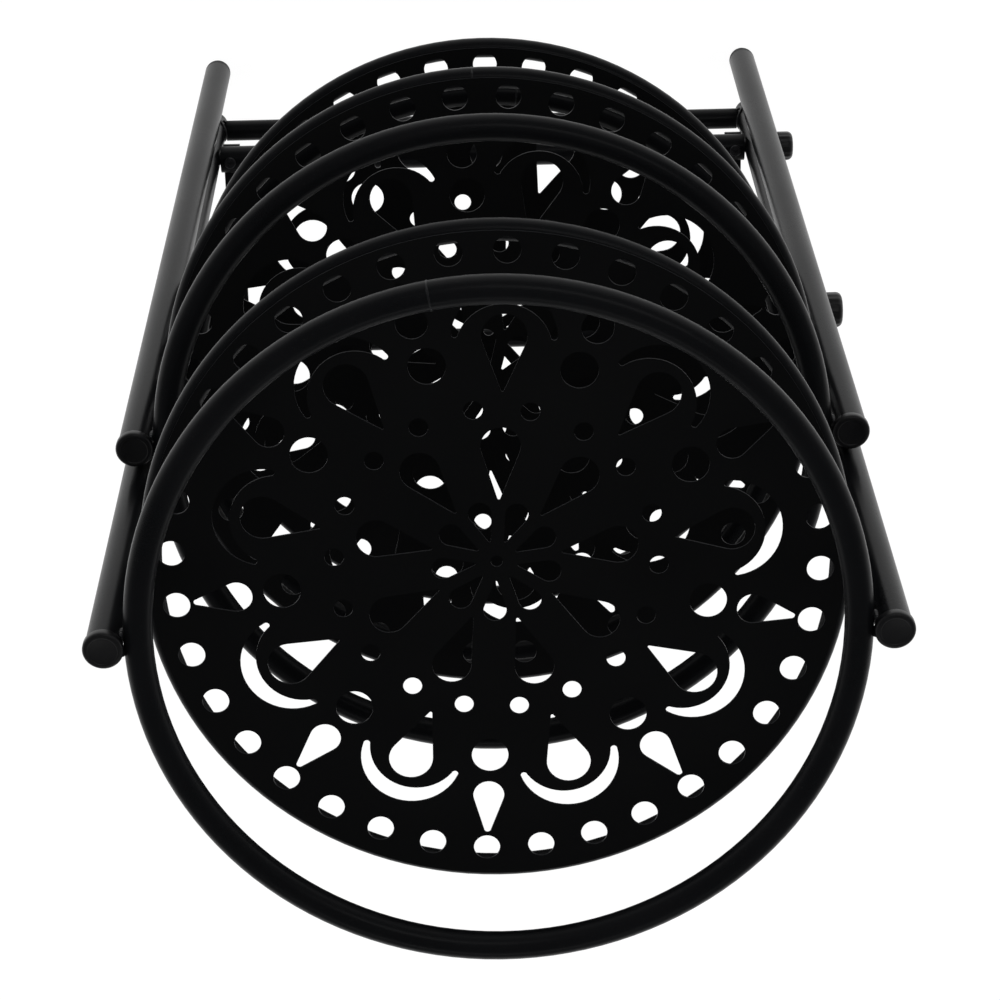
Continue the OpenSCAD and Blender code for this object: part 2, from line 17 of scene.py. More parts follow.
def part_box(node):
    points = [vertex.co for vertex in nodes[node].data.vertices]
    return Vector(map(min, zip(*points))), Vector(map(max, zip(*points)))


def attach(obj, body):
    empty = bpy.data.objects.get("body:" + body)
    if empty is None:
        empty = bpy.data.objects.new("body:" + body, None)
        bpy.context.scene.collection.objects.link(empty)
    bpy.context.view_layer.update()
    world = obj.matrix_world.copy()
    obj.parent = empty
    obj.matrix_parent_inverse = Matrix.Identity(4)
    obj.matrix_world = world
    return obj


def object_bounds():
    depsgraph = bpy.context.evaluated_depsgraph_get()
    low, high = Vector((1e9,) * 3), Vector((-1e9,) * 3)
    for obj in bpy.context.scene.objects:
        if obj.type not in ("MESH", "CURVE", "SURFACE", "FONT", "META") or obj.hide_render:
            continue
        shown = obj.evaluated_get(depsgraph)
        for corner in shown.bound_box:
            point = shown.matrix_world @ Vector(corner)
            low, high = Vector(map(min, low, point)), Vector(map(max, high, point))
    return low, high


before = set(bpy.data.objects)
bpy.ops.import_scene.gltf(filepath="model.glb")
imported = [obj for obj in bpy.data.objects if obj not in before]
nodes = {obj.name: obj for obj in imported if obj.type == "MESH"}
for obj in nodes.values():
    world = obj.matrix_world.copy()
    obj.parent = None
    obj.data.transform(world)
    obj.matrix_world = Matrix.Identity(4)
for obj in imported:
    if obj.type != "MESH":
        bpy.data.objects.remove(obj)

cad_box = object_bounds()

# %% [markdown]
# ## Measuring the stand
#
# Every weld has to sit where two tubes meet, so each place is worked out from
# the boxes of the loaded nodes. A ring's box gives its middle, its outer radius
# and the thickness of its tube. A post leans back, so its axis is a line
# through the middle of its box, and the lean says how far back it is at any
# height. Working from boxes keeps the welds on the tubes if a size changes.

# %% Rings and posts, in metres
MM = 0.001
LEAN = math.radians(4.6)
TIERS = {"top": "rear", "middle": "front", "bottom": "rear"}
RINGS = [f"{tier}_{kind}" for tier in TIERS for kind in ("guard_hoop", "tray_rim")]


def middle_and_size(node):
    low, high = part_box(node)
    return (low + high) / 2, high - low


def ring_measures(node):
    """Middle, outer radius and tube radius of a ring."""
    middle, size = middle_and_size(node)
    return middle, size.x / 2, size.z / 2


def post_point(node, height):
    """The point on a post's axis at that height."""
    middle, _ = middle_and_size(node)
    return Vector((middle.x, middle.y + (height - middle.z) * math.tan(LEAN), height))


post_r = middle_and_size("rear_post_left")[1].x / 2
_, hoop_r, _ = ring_measures("top_guard_hoop")
print("post radius", round(post_r, 4), "hoop radius", round(hoop_r, 4))

# %% [markdown]
# ## Drawing materials by arithmetic
#
# Every finish here is a network of nodes, and most of those nodes only add and
# multiply. `Wire` stands for a value on its way from one node to the next, and
# Python's own operators then draw the Math nodes. `Finish.node` makes any other
# node, so a whole finish reads as a few lines of sums.


# %% Wires and finishes
class Wire:
    """A value on its way between nodes; + - * draw Math or Vector Math nodes."""

    def __init__(self, finish, socket):
        self.finish, self.socket = finish, socket

    def draw(self, operation, first, second):
        wires = [w for w in (first, second) if isinstance(w, Wire)]
        is_vector = any(w.socket.type in ("VECTOR", "RGBA") for w in wires)
        kind = "ShaderNodeVectorMath" if is_vector else "ShaderNodeMath"
        return self.finish.node(kind, {"operation": operation}, {0: first, 1: second})

    def __add__(self, other): return self.draw("ADD", self, other)
    def __radd__(self, other): return self.draw("ADD", other, self)
    def __sub__(self, other): return self.draw("SUBTRACT", self, other)
    def __rsub__(self, other): return self.draw("SUBTRACT", other, self)
    def __mul__(self, other): return self.draw("MULTIPLY", self, other)
    def __rmul__(self, other): return self.draw("MULTIPLY", other, self)


class Finish:
    """The node tree of a material or of the world, and short ways to draw in it."""

    def __init__(self, owner):
        self.owner = owner
        owner.use_nodes = True
        self.tree = owner.node_tree

    def plug(self, socket, value):
        if isinstance(value, Wire):
            self.tree.links.new(value.socket, socket)
        elif hasattr(socket.default_value, "__len__"):
            count = len(socket.default_value)
            parts = list(value) if hasattr(value, "__len__") else [value] * 3
            socket.default_value = (parts + [1.0] * count)[:count]
        else:
            socket.default_value = value

    def node(self, kind, settings=None, inputs=None, output=0):
        made = self.tree.nodes.new(kind)
        for name, value in (settings or {}).items():
            setattr(made, name, value)
        for name, value in (inputs or {}).items():
            self.plug(made.inputs[name], value)
        return Wire(self, made.outputs[output])

    def place(self):
        """Where a point of the surface is, in metres, on the piece itself."""
        return self.node("ShaderNodeTexCoord", output="Object")

    def noise(self, features_per_metre, detail=2.0):
        """Soft random values around a half."""
        inputs = {"Vector": self.place(), "Scale": features_per_metre, "Detail": detail}
        return self.node("ShaderNodeTexNoise", inputs=inputs, output="Fac")

    def ramp(self, wire, low, high, to_low=0.0, to_high=1.0):
        """Maps the stretch from low to high onto the one from to_low to to_high."""
        inputs = {"Value": wire, "From Min": low, "From Max": high,
                  "To Min": to_low, "To Max": to_high}
        return self.node("ShaderNodeMapRange", inputs=inputs)

    def blend(self, share, first, second):
        """A colour between first, at share 0, and second, at share 1."""
        return self.node("ShaderNodeMix", {"data_type": "RGBA"},
                         {0: share, 6: first, 7: second}, output=2)

    def bump(self, height, depth, under=None):
        """Tilts the surface as if height, from 0 to 1, stood depth metres proud."""
        inputs = {"Height": height, "Distance": depth}
        if under is not None:
            inputs["Normal"] = under
        return self.node("ShaderNodeBump", inputs=inputs)


print("wires and finishes are ready")

# %% [markdown]
# ## The shader of every black piece
#
# All pieces are black, so colour alone can't tell them apart. What the eye reads
# is gloss: how sharp and how strong the reflections are. The numbers that are
# the same all over a piece sit on the shader's own sockets, and only colour,
# roughness and the bump vary from place to place.


# %% One maker for all black finishes
finishes = {}


def start_finish(name, gloss, metallic=0.0):
    """A new material with its steady values set; gloss 0.5 is ordinary lacquer."""
    material = bpy.data.materials.new(name)
    finish = Finish(material)
    finish.shader = finish.tree.nodes["Principled BSDF"]
    finish.plug(finish.shader.inputs["Specular IOR Level"], gloss)
    finish.plug(finish.shader.inputs["Metallic"], metallic)
    finishes[name] = finish
    return finish


def dress(finish, colour, roughness, normal):
    for socket, value in (("Base Color", colour), ("Roughness", roughness), ("Normal", normal)):
        finish.plug(finish.shader.inputs[socket], value)
    print("finish", finish.owner.name, "has", len(finish.tree.nodes), "nodes")


# %% [markdown]
# ### Satin powder coat on the tubes
#
# Powder coat is sprayed on dry and melts in an oven, so it sets with a faint
# orange peel, waves about two millimetres long and a few hundredths high. A
# finer grain lies over them. Large soft patches of roughness keep a long tube
# from shining the same all along, and a few pale specks are settled dust.

# %% The tubes' paint
def powder_coat(name, gloss, dark, light, base_roughness, peel_depth):
    finish = start_finish(name, gloss)
    patches = finish.ramp(finish.noise(14, 3), 0.3, 0.7)
    peel = finish.noise(420, 1.5)
    grain = finish.noise(2600, 1)
    dust = finish.ramp(finish.noise(1500, 0), 0.74, 0.8)
    colour = finish.blend(patches, dark, light)
    colour = finish.blend(dust * 0.3, colour, (0.02, 0.02, 0.02))
    roughness = base_roughness + patches * 0.06 + (grain - 0.5) * 0.1 + dust * 0.2
    normal = finish.bump(grain, peel_depth * 0.12, finish.bump(peel, peel_depth))
    dress(finish, colour, roughness, normal)


powder_coat("frame_paint", 0.1, (0.0026, 0.0028, 0.0033), (0.0036, 0.0038, 0.0044), 0.27, 0.03 * MM)

# %% [markdown]
# ### Matt coat on the punched trays
#
# The trays are flatter and duller than the tubes: a matt coat with hardly any
# gloss, so they read as one deep black. A punch leaves the walls of its holes
# smooth, and the walls are painted lighter than the face: a painted highlight
# for the light a wall catches. The face points up or down and a wall sideways,
# so the upward part of the surface's own normal tells one from the other.

# %% The trays' paint
def tray_coat():
    finish = start_finish("tray_paint", 0.06)
    facing = finish.node("ShaderNodeTexCoord", output="Normal")
    upward = finish.node("ShaderNodeSeparateXYZ", inputs={0: facing}, output="Z")
    # the walls' share: it makes them smoother and carries their painted highlight
    wall = 1 - finish.ramp(upward * upward, 0.2, 0.7)
    patches = finish.ramp(finish.noise(9, 3), 0.3, 0.7)
    grain = finish.noise(1800, 2)
    dust = finish.ramp(finish.noise(1300, 0), 0.76, 0.82)
    face = finish.blend(patches, (0.0022, 0.0023, 0.0025), (0.003, 0.0031, 0.0033))
    face = finish.blend(dust * 0.25, face, (0.012, 0.012, 0.012))
    # painted highlight: the hole walls get a lighter colour than the face
    colour = finish.blend(wall, face, (0.018, 0.0185, 0.02))
    roughness = 0.6 + patches * 0.06 + (grain - 0.5) * 0.12 - wall * 0.25
    normal = finish.bump(grain, 0.01 * MM, finish.bump(finish.noise(300, 1), 0.02 * MM))
    dress(finish, colour, roughness, normal)


tray_coat()

# %% [markdown]
# ### Moulded caps, rubber feet and nylon bushes
#
# The caps come from a mould that was spark-eroded, which leaves a fine even
# grain and a dull sheen. Rubber is duller still and picks up dust in its
# pores. Nylon is a little waxy, so its reflections are broad but not weak.
# One maker serves all three, because only the grain's size and depth differ.

# %% Plastic and rubber
def moulded(name, gloss, dark, light, base_roughness, grain_per_metre, grain_depth):
    finish = start_finish(name, gloss)
    cloud = finish.ramp(finish.noise(90, 2), 0.3, 0.7)
    grain = finish.noise(grain_per_metre, 2)
    pores = finish.ramp(finish.noise(grain_per_metre * 0.6, 0), 0.62, 0.75)
    colour = finish.blend(cloud, dark, light)
    colour = finish.blend(pores * 0.2, colour, (0.014, 0.014, 0.015))
    roughness = base_roughness + cloud * 0.05 + (grain - 0.5) * 0.12
    normal = finish.bump(grain, grain_depth)
    dress(finish, colour, roughness, normal)


moulded("cap_plastic", 0.3, (0.0032, 0.0032, 0.0036), (0.0042, 0.0042, 0.0047), 0.34, 2200,
        0.02 * MM)
moulded("foot_rubber", 0.3, (0.008, 0.008, 0.009), (0.013, 0.013, 0.014), 0.62, 1200, 0.06 * MM)
moulded("bush_nylon", 0.45, (0.011, 0.011, 0.012), (0.015, 0.015, 0.016), 0.45, 1700, 0.02 * MM)

# %% [markdown]
# ### Blackened steel
#
# Bolts, nuts and rivets are steel with a black oxide skin. It is metal, so its
# reflections take the skin's dark colour. Fine turning marks run round the
# axis, which for every fastener here is the X axis or near it, so the marks
# are waves along X. The corners of a nut rub bright in the spanner, which the
# noise breaks up into small worn patches.

# %% The fasteners' finish
def blackened_steel():
    finish = start_finish("black_fasteners", 0.5, metallic=0.85)
    marks = finish.node("ShaderNodeTexWave", {"bands_direction": "X"},
                        {"Vector": finish.place(), "Scale": 900, "Distortion": 1.5}, "Fac")
    wear = finish.ramp(finish.noise(380, 3), 0.55, 0.75)
    colour = finish.blend(wear, (0.035, 0.035, 0.038), (0.075, 0.075, 0.08))
    roughness = 0.36 + marks * 0.06 - wear * 0.08
    normal = finish.bump(marks, 0.004 * MM, finish.bump(finish.noise(900, 2), 0.01 * MM))
    dress(finish, colour, roughness, normal)


blackened_steel()

# %% [markdown]
# ### Paint over a weld
#
# A weld is a row of small overlapping puddles, and the coat lies over them a
# little thicker and glossier than elsewhere. The bead's shape is modelled, and
# the bump adds the rough scale between the puddles.

# %% The welds' paint
def weld_coat():
    finish = start_finish("weld_paint", 0.2)
    lumps = finish.noise(700, 3)
    scale = finish.noise(2400, 2)
    colour = finish.blend(lumps, (0.0045, 0.0048, 0.0056), (0.009, 0.0095, 0.0105))
    roughness = 0.24 + lumps * 0.12
    normal = finish.bump(scale, 0.03 * MM, finish.bump(lumps, 0.16 * MM))
    dress(finish, colour, roughness, normal)


weld_coat()

# %% [markdown]
# ## Dressing the loaded nodes
#
# Each node came in with one material slot, named after its finish. Putting the
# finish made above into that slot leaves the mesh as it is.

# %% Give each node its finish
for node in nodes.values():
    for slot in node.material_slots:
        name = slot.material.name.split(".")[0]
        slot.material = finishes[name].owner
print("dressed", len(nodes), "nodes")

# %% [markdown]
# ## Modelling small pieces
#
# Every new piece starts from a primitive and is shaped in edit mode. An
# operator works on whatever is selected, so the selection is cleared before
# each piece. A weld that repeats is modelled once at the origin, and each copy
# has its own mesh, moved to its place, so that the object itself never moves.


# %% Helpers for small pieces
def clear_selection():
    bpy.ops.object.select_all(action="DESELECT")


def apply_modifier(piece, kind, **settings):
    modifier = piece.modifiers.new(kind.lower(), kind)
    for name, value in settings.items():
        setattr(modifier, name, value)
    bpy.context.view_layer.objects.active = piece
    bpy.ops.object.modifier_apply(modifier=modifier.name)


def settle(piece, name, finish):
    """Names a piece, moves its place into its mesh, smooths it and paints it."""
    clear_selection()
    piece.select_set(True)
    bpy.context.view_layer.objects.active = piece
    bpy.ops.object.transform_apply(location=True, rotation=True, scale=True)
    bpy.ops.object.shade_smooth()
    piece.name = piece.data.name = name
    piece.data.materials.clear()
    piece.data.materials.append(finishes[finish].owner)
    return piece


def copies_in_place(pattern, name, places):
    """One object made of copies of pattern, one at each place, a 4x4 matrix."""
    clear_selection()
    for place in places:
        copy = pattern.copy()
        copy.data = pattern.data.copy()
        copy.data.transform(place)
        bpy.context.scene.collection.objects.link(copy)
        copy.select_set(True)
        bpy.context.view_layer.objects.active = copy
    bpy.ops.object.join()
    whole = bpy.context.object
    whole.name = whole.data.name = name
    print(name, "has", len(places), "copies and", len(whole.data.polygons), "faces")
    return whole


def put_away(pattern):
    bpy.data.objects.remove(pattern)


# %% [markdown]
# ### A run of weld
#
# Each hoop and rim touches its post at one point, and a short upright run of
# weld fills the groove before and behind that point. The run is drawn like a
# stack of coins: a small disc is extruded upwards step by step, wider at each
# puddle and narrower between two. Subdividing then rounds the steps.

# %% Model one bead
STEPS_PER_PUDDLE = 4
BLUNT_END = 0.35            # how wide a bead's ends are, as a share of its middle
RIPPLE = 0.1                # how much narrower it is between two puddles


def weld_bead(length, width, depth, puddles):
    """A bead along Z, width across X and depth along Y, with its middle at 0."""
    clear_selection()
    steps = puddles * STEPS_PER_PUDDLE
    radii = []
    for step in range(steps + 1):
        along = step / steps
        envelope = BLUNT_END + (1 - BLUNT_END) * math.sin(math.pi * along) ** 0.5
        ripple = 1 - RIPPLE + RIPPLE * math.cos(2 * math.pi * puddles * along)
        radii.append(width / 2 * envelope * ripple)
    bpy.ops.mesh.primitive_circle_add(vertices=14, radius=radii[0], fill_type="NGON",
                                      location=(0, 0, -length / 2))
    bead = bpy.context.object
    bpy.ops.object.mode_set(mode="EDIT")
    for before, after in zip(radii, radii[1:]):
        bpy.ops.mesh.extrude_region_move(TRANSFORM_OT_translate={"value": (0, 0, length / steps)})
        bpy.ops.transform.resize(value=(after / before, after / before, 1),
                                 center_override=(0, 0, 0))
    bpy.ops.mesh.select_all(action="SELECT")
    bpy.ops.transform.resize(value=(1, depth / width, 1), center_override=(0, 0, 0))
    bpy.ops.mesh.normals_make_consistent(inside=False)
    bpy.ops.object.mode_set(mode="OBJECT")
    apply_modifier(bead, "SUBSURF", levels=1)
    return settle(bead, "weld_bead", "weld_paint")


bead = weld_bead(length=9 * MM, width=4.2 * MM, depth=4.4 * MM, puddles=5)
print("bead size in mm:", [round(side / MM, 1) for side in bead.dimensions])

# %% [markdown]
# ### Welds where rings meet posts
#
# Seen from above, the line from a ring's middle to the post crosses the ring's
# tube where the two touch. The two runs stand a little to either side of that
# point, in the groove that opens between the tube and the post.

# %% Place the beads on the rings
RING_GAP = 0.6 * MM         # from a ring's edge to the middle of a bead beside it
BEAD_STAGGER = 0.4 * MM     # one bead sits this much higher, the other lower


def ring_weld_places(groove):
    places = []
    for ring in RINGS:
        middle, outer_r, _ = ring_measures(ring)
        for side in ("left", "right"):
            post = post_point(f"{TIERS[ring.split('_')[0]]}_post_{side}", middle.z)
            outward = (post - middle).normalized()
            sideways = Vector((-outward.y, outward.x, 0))
            touch = middle + outward * (outer_r + RING_GAP)
            for way in (-1, 1):
                spot = touch + sideways * way * groove + Vector((0, 0, BEAD_STAGGER * way))
                turn = Matrix.Rotation(math.atan2(outward.y, outward.x), 4, "Z")
                lean = Matrix.Rotation(-LEAN, 4, "X")
                places.append(Matrix.Translation(spot) @ lean @ turn)
    return places


ring_welds = copies_in_place(bead, "ring_welds", ring_weld_places(4.8 * MM))
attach(ring_welds, "frame")

# %% [markdown]
# ### Tacks under the trays
#
# A tray sheet rests on its rim and is held by short tacks underneath, where
# nobody looks but everybody's fingers go. They are the same bead laid on its
# side, one every forty-five degrees, along the inside of the rim.

# %% Place the tacks
TACK_INWARD = 3.1 * MM      # from the inside of the rim's tube
TACK_BELOW = 0.9 * MM       # under the top of the rim
TACK_SCALE = 0.62


def tack_places(count):
    places = []
    for tier in TIERS:
        middle, outer_r, tube_r = ring_measures(f"{tier}_tray_rim")
        for number in range(count):
            turn = Matrix.Rotation((number + 0.5) * 2 * math.pi / count, 4, "Z")
            spot = Vector((outer_r - tube_r - TACK_INWARD, 0, tube_r - TACK_BELOW))
            lie = Matrix.Rotation(math.pi / 2, 4, "X")
            small = Matrix.Scale(TACK_SCALE, 4)
            places.append(Matrix.Translation(middle) @ turn @ Matrix.Translation(spot)
                          @ lie @ small)
    return places


tray_tacks = copies_in_place(bead, "tray_tacks", tack_places(8))
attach(tray_tacks, "frame")

# %% [markdown]
# ### Welds on the spacers and the hinge plates
#
# Short spacers hold the front posts off the rear ones, and two plates on each
# rear post hold the leg's pivot bolt. A bead runs down each side of a spacer
# and along the back of each plate. A node made of several solids has one box
# around them all, so the spacers' heights are shared out evenly inside it.

# %% Place the beads on spacers and plates
SPACER_SINK = 0.6 * MM      # how far a bead sinks into a spacer's side
PLATE_SINK = 0.7 * MM       # and into a hinge plate's face
PLATE_BACK = 1.5 * MM       # behind the middle of the post
PLATE_HEIGHTS = (-6.5 * MM, 1.5 * MM)


def spacer_weld_places(count):
    low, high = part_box("post_spacers")
    spacer_r = (high.x - low.x) / 2 - post_point("rear_post_right", 0).x
    places = []
    for side in ("left", "right"):
        for number in range(count):
            height = low.z + spacer_r + number * (high.z - low.z - 2 * spacer_r) / (count - 1)
            rear = post_point(f"rear_post_{side}", height)
            front = post_point(f"front_post_{side}", height)
            for way in (-1, 1):
                spot = (rear + front) / 2 + Vector((way * (spacer_r - SPACER_SINK), 0, 0))
                places.append(Matrix.Translation(spot) @ Matrix.Rotation(-LEAN, 4, "X"))
    return places


def plate_weld_places():
    places = []
    for side in ("left", "right"):
        low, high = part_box(f"leg_hinge_plates_{side}")
        height = (low.z + high.z) / 2
        post = post_point(f"rear_post_{side}", height)
        for x in (low.x, high.x):
            inward = 1 if x < post.x else -1
            for step in PLATE_HEIGHTS:
                spot = Vector((x - PLATE_SINK * inward, post.y + PLATE_BACK, height + step))
                places.append(Matrix.Translation(spot) @ Matrix.Rotation(-LEAN, 4, "X"))
    return places


bracket_welds = copies_in_place(bead, "bracket_welds", spacer_weld_places(3) + plate_weld_places())
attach(bracket_welds, "frame")
put_away(bead)

# %% [markdown]
# ### Fillet welds at the ends of the crossbars
#
# A crossbar ends against the round side of a post, so the weld around it is
# not flat: it follows a saddle. A circle is laid round the bar and shrunk onto
# the post along the bar, which bends it into that saddle, and a bevelled curve
# along it becomes the fillet.


# %% Model and place the fillets
RING_CLEARANCE = 0.2 * MM   # from the bar's surface to the middle of the fillet
REACH = 0.05                # metres along the bar in which the post is looked for
NEAR_POST = 0.9             # where the circle starts, as a share of the post's x
FILLET = 1.3 * MM


def fillet_weld(post, bar_middle, bar_r, thickness):
    """A ring of weld around a bar along X, where it meets the inside of a post."""
    clear_selection()
    post_x = middle_and_size(post)[0].x
    start = Vector((post_x * NEAR_POST, bar_middle.y, bar_middle.z))
    bpy.ops.mesh.primitive_circle_add(vertices=40, radius=bar_r + RING_CLEARANCE, location=start,
                                      rotation=(0, math.pi / 2, 0))
    ring = bpy.context.object
    apply_modifier(ring, "SHRINKWRAP", target=nodes[post], wrap_method="PROJECT",
                   use_project_x=False, use_project_y=False, use_project_z=True,
                   use_negative_direction=True, use_positive_direction=True,
                   project_limit=REACH)
    bpy.ops.object.convert(target="CURVE")
    curve = bpy.context.object
    curve.data.bevel_depth = thickness
    curve.data.bevel_resolution = 2
    bpy.ops.object.convert(target="MESH")
    return settle(bpy.context.object, "fillet_weld", "weld_paint")


def bar_fillets(bar, posts, name):
    middle, size = middle_and_size(bar)
    rings = [fillet_weld(post, middle, size.z / 2, FILLET) for post in posts]
    clear_selection()
    for ring in rings:
        ring.select_set(True)
    bpy.ops.object.join()
    whole = bpy.context.object
    whole.name = whole.data.name = name
    low, high = (round(min(v.co.x for v in whole.data.vertices), 4),
                 round(max(v.co.x for v in whole.data.vertices), 4))
    print(name, "reaches from", low, "to", high)
    return whole


crossbar_welds = bar_fillets("foot_crossbar", ("rear_post_left", "rear_post_right"),
                             "crossbar_welds")
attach(crossbar_welds, "frame")
leg_welds = bar_fillets("leg_crossbar", ("rear_leg_left", "rear_leg_right"), "leg_welds")
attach(leg_welds, "rear_legs")

# %% [markdown]
# ### Butt seams on the rings
#
# Each ring is a tube bent round until its ends meet, and the joint is ground
# nearly flush. What is left is a band a quarter of a millimetre proud. It starts
# as a narrow torus, mostly sunk in the tube, and a displacement then roughens
# it, because grinding never leaves an even edge.

# %% Model the seams and place one on each ring
SEAM_SINK = 0.5 * MM        # how far under the tube's surface the band is centred
SEAM_HALF_WIDTH = 0.75 * MM
GRIND_SIZE, GRIND_DEPTH = 3 * MM, 0.55 * MM


def seam_band(tube_r, name):
    clear_selection()
    bpy.ops.mesh.primitive_torus_add(major_radius=tube_r - SEAM_SINK,
                                     minor_radius=SEAM_HALF_WIDTH,
                                     major_segments=64, minor_segments=12,
                                     rotation=(math.pi / 2, 0, 0))
    band = bpy.context.object
    cloud = bpy.data.textures.new(name, type="CLOUDS")
    cloud.noise_scale = GRIND_SIZE
    apply_modifier(band, "DISPLACE", texture=cloud, texture_coords="LOCAL",
                   strength=GRIND_DEPTH, mid_level=0.55)
    return settle(band, name, "weld_paint")


# where each ring was closed: degrees round it, from the top tier down
SEAM_BEARINGS = {"guard_hoop": (-80.5, 98, -96), "tray_rim": (84, -88, 95)}


def seam_places(kind, bearings):
    places = []
    for tier, bearing in zip(TIERS, bearings):
        middle, outer_r, tube_r = ring_measures(f"{tier}_{kind}")
        turn = Matrix.Rotation(math.radians(bearing), 4, "Z")
        tube_middle = Matrix.Translation((outer_r - tube_r, 0, 0))
        places.append(Matrix.Translation(middle) @ turn @ tube_middle)
    return places


for kind, bearings in SEAM_BEARINGS.items():
    tube_r = ring_measures(f"top_{kind}")[2]
    band = seam_band(tube_r, "seam_band")
    seams = copies_in_place(band, f"{kind}_seams", seam_places(kind, bearings))
    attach(seams, "frame")
    put_away(band)

# %% [markdown]
# ### Moulded cups
#
# Two kinds of cup are pushed over steel ends: covers over the nuts, so that
# they can't scratch, and collars over the posts' upper ends. A circle is
# extruded to make the wall, drawn in step by step to round the end, and closed.
# The end is then inset and sunk a little, as moulded ends are, and Solidify
# gives the cup its wall, which leaves room inside for what it covers. A cover
# also has shallow ribs around it, where the fingers grip.

# %% Model a cup
RIM, STEP = 0.08, 0.03      # widths of the end's rim and its step, as shares of the radius
FACE_SINK = 0.4 * MM        # how far the end's face lies under its rim
RIBS = 16
ROUND_STEPS = 6


def moulded_cup(radius, length, wall, rounding, rib_depth):
    """A cup that is open at z = 0 and closed at z = length."""
    clear_selection()
    bpy.ops.mesh.primitive_circle_add(vertices=64, radius=radius, fill_type="NOTHING")
    cup = bpy.context.object
    bpy.ops.object.mode_set(mode="EDIT")
    rows = [(length * 0.5, radius), (length - rounding, radius)]
    for step in range(1, ROUND_STEPS + 1):
        turn = math.radians(90 / ROUND_STEPS * step)
        rows.append((length - rounding + rounding * math.sin(turn),
                     radius - rounding + rounding * math.cos(turn)))
    height, wide = 0, radius
    for next_height, next_wide in rows:
        bpy.ops.mesh.extrude_region_move(
            TRANSFORM_OT_translate={"value": (0, 0, next_height - height)})
        bpy.ops.transform.resize(value=(next_wide / wide, next_wide / wide, 1),
                                 center_override=(0, 0, 0))
        height, wide = next_height, next_wide
    bpy.ops.mesh.edge_face_add()
    bpy.ops.mesh.inset(thickness=radius * RIM)
    bpy.ops.mesh.inset(thickness=radius * STEP)
    bpy.ops.transform.translate(value=(0, 0, -FACE_SINK))
    bpy.ops.mesh.select_all(action="SELECT")
    bpy.ops.mesh.normals_make_consistent(inside=False)
    bpy.ops.object.mode_set(mode="OBJECT")
    for vertex in cup.data.vertices:
        bearing = math.atan2(vertex.co.y, vertex.co.x)
        fade = min(1, 1.4 - vertex.co.z / length)
        groove = rib_depth / 2 * (1 + math.cos(RIBS * bearing)) * fade
        distance = math.hypot(vertex.co.x, vertex.co.y)
        vertex.co.x *= 1 - groove / distance
        vertex.co.y *= 1 - groove / distance
    apply_modifier(cup, "SOLIDIFY", thickness=wall, offset=-1)
    apply_modifier(cup, "BEVEL", width=0.2 * MM, segments=2, limit_method="ANGLE")
    return settle(cup, "moulded_cup", "cap_plastic")


# %% [markdown]
# ### Covers over the nuts
#
# Every bolt ends in a nut on the stand's left. The leg pivots' covers butt
# against the hinge plates, and the axle's cover against its washer.


# %% Place the covers
def cover_place(base_x, node):
    """Turns a cover's opening towards the nut, on the axis of that node."""
    middle, _ = middle_and_size(node)
    return Matrix.Translation((base_x, middle.y, middle.z)) @ Matrix.Rotation(-math.pi / 2, 4, "Y")


def make_covers():
    clear = 0.3 * MM        # between a cover and what it butts against
    pivots = [cover_place(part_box(f"leg_hinge_plates_{side}")[0].x - clear, "leg_pivot_nuts")
              for side in ("left", "right")]
    axle = [cover_place(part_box("spreader_axle_washer")[0].x - clear, "spreader_axle_nut")]
    for name, radius, length, places in (("leg_nut_covers", 11.6 * MM, 17 * MM, pivots),
                                         ("axle_nut_cover", 10.4 * MM, 14 * MM, axle)):
        pattern = moulded_cup(radius, length, 2 * MM, 4 * MM, 0.56 * MM)
        covers = copies_in_place(pattern, name, places)
        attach(covers, "frame")
        put_away(pattern)


make_covers()

# %% [markdown]
# ### Collars on the posts
#
# A collar grips the last few millimetres of each post and hides the edge of the
# plug in it, which is why a post looks a little thicker at its very end.


# %% Place the collars
COLLAR_GAP = 0.15 * MM      # between a collar and the plug under it


def collar_places(length, wall):
    places = []
    for row in ("rear", "front"):
        for side in ("left", "right"):
            cap_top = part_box(f"{row}_post_top_caps")[1].z - post_r * math.sin(LEAN)
            inside_top = post_point(f"{row}_post_{side}", cap_top + COLLAR_GAP)
            lean = Matrix.Rotation(-LEAN, 4, "X")
            places.append(Matrix.Translation(inside_top) @ lean
                          @ Matrix.Translation((0, 0, FACE_SINK + wall - length)))
    return places


COLLAR_LENGTH, COLLAR_WALL = 5 * MM, 0.8 * MM
COLLAR_R = post_r + 0.95 * MM
COLLAR_ROUNDING = 1.9 * MM

collar = moulded_cup(COLLAR_R, COLLAR_LENGTH, COLLAR_WALL, COLLAR_ROUNDING, 0)
collars = copies_in_place(collar, "post_collars", collar_places(COLLAR_LENGTH, COLLAR_WALL))
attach(collars, "frame")
put_away(collar)

# %% [markdown]
# ## Floor and backdrop
#
# The stand is shown on white. Brighter lamps would wash out the black paint, so
# the white comes from the floor itself: to the camera, and to the mirror-like
# rays of glossy paint, most of the floor glows at strength 1. The rest of it
# is an ordinary pale surface, which keeps the stand's soft shadow.

# %% The floor
GLOW, GLOW_SHARE = 1.1, 0.86    # the glow's strength, and how much of the floor it is


def white_to_the_eye(finish):
    """1 for rays from the camera, from gloss and through glass, otherwise 0."""
    rays = finish.tree.nodes.new("ShaderNodeLightPath").outputs
    seen = [Wire(finish, rays[name])
            for name in ("Is Camera Ray", "Is Glossy Ray", "Is Transmission Ray")]
    return finish.node("ShaderNodeClamp", inputs={"Value": seen[0] + seen[1] + seen[2]})


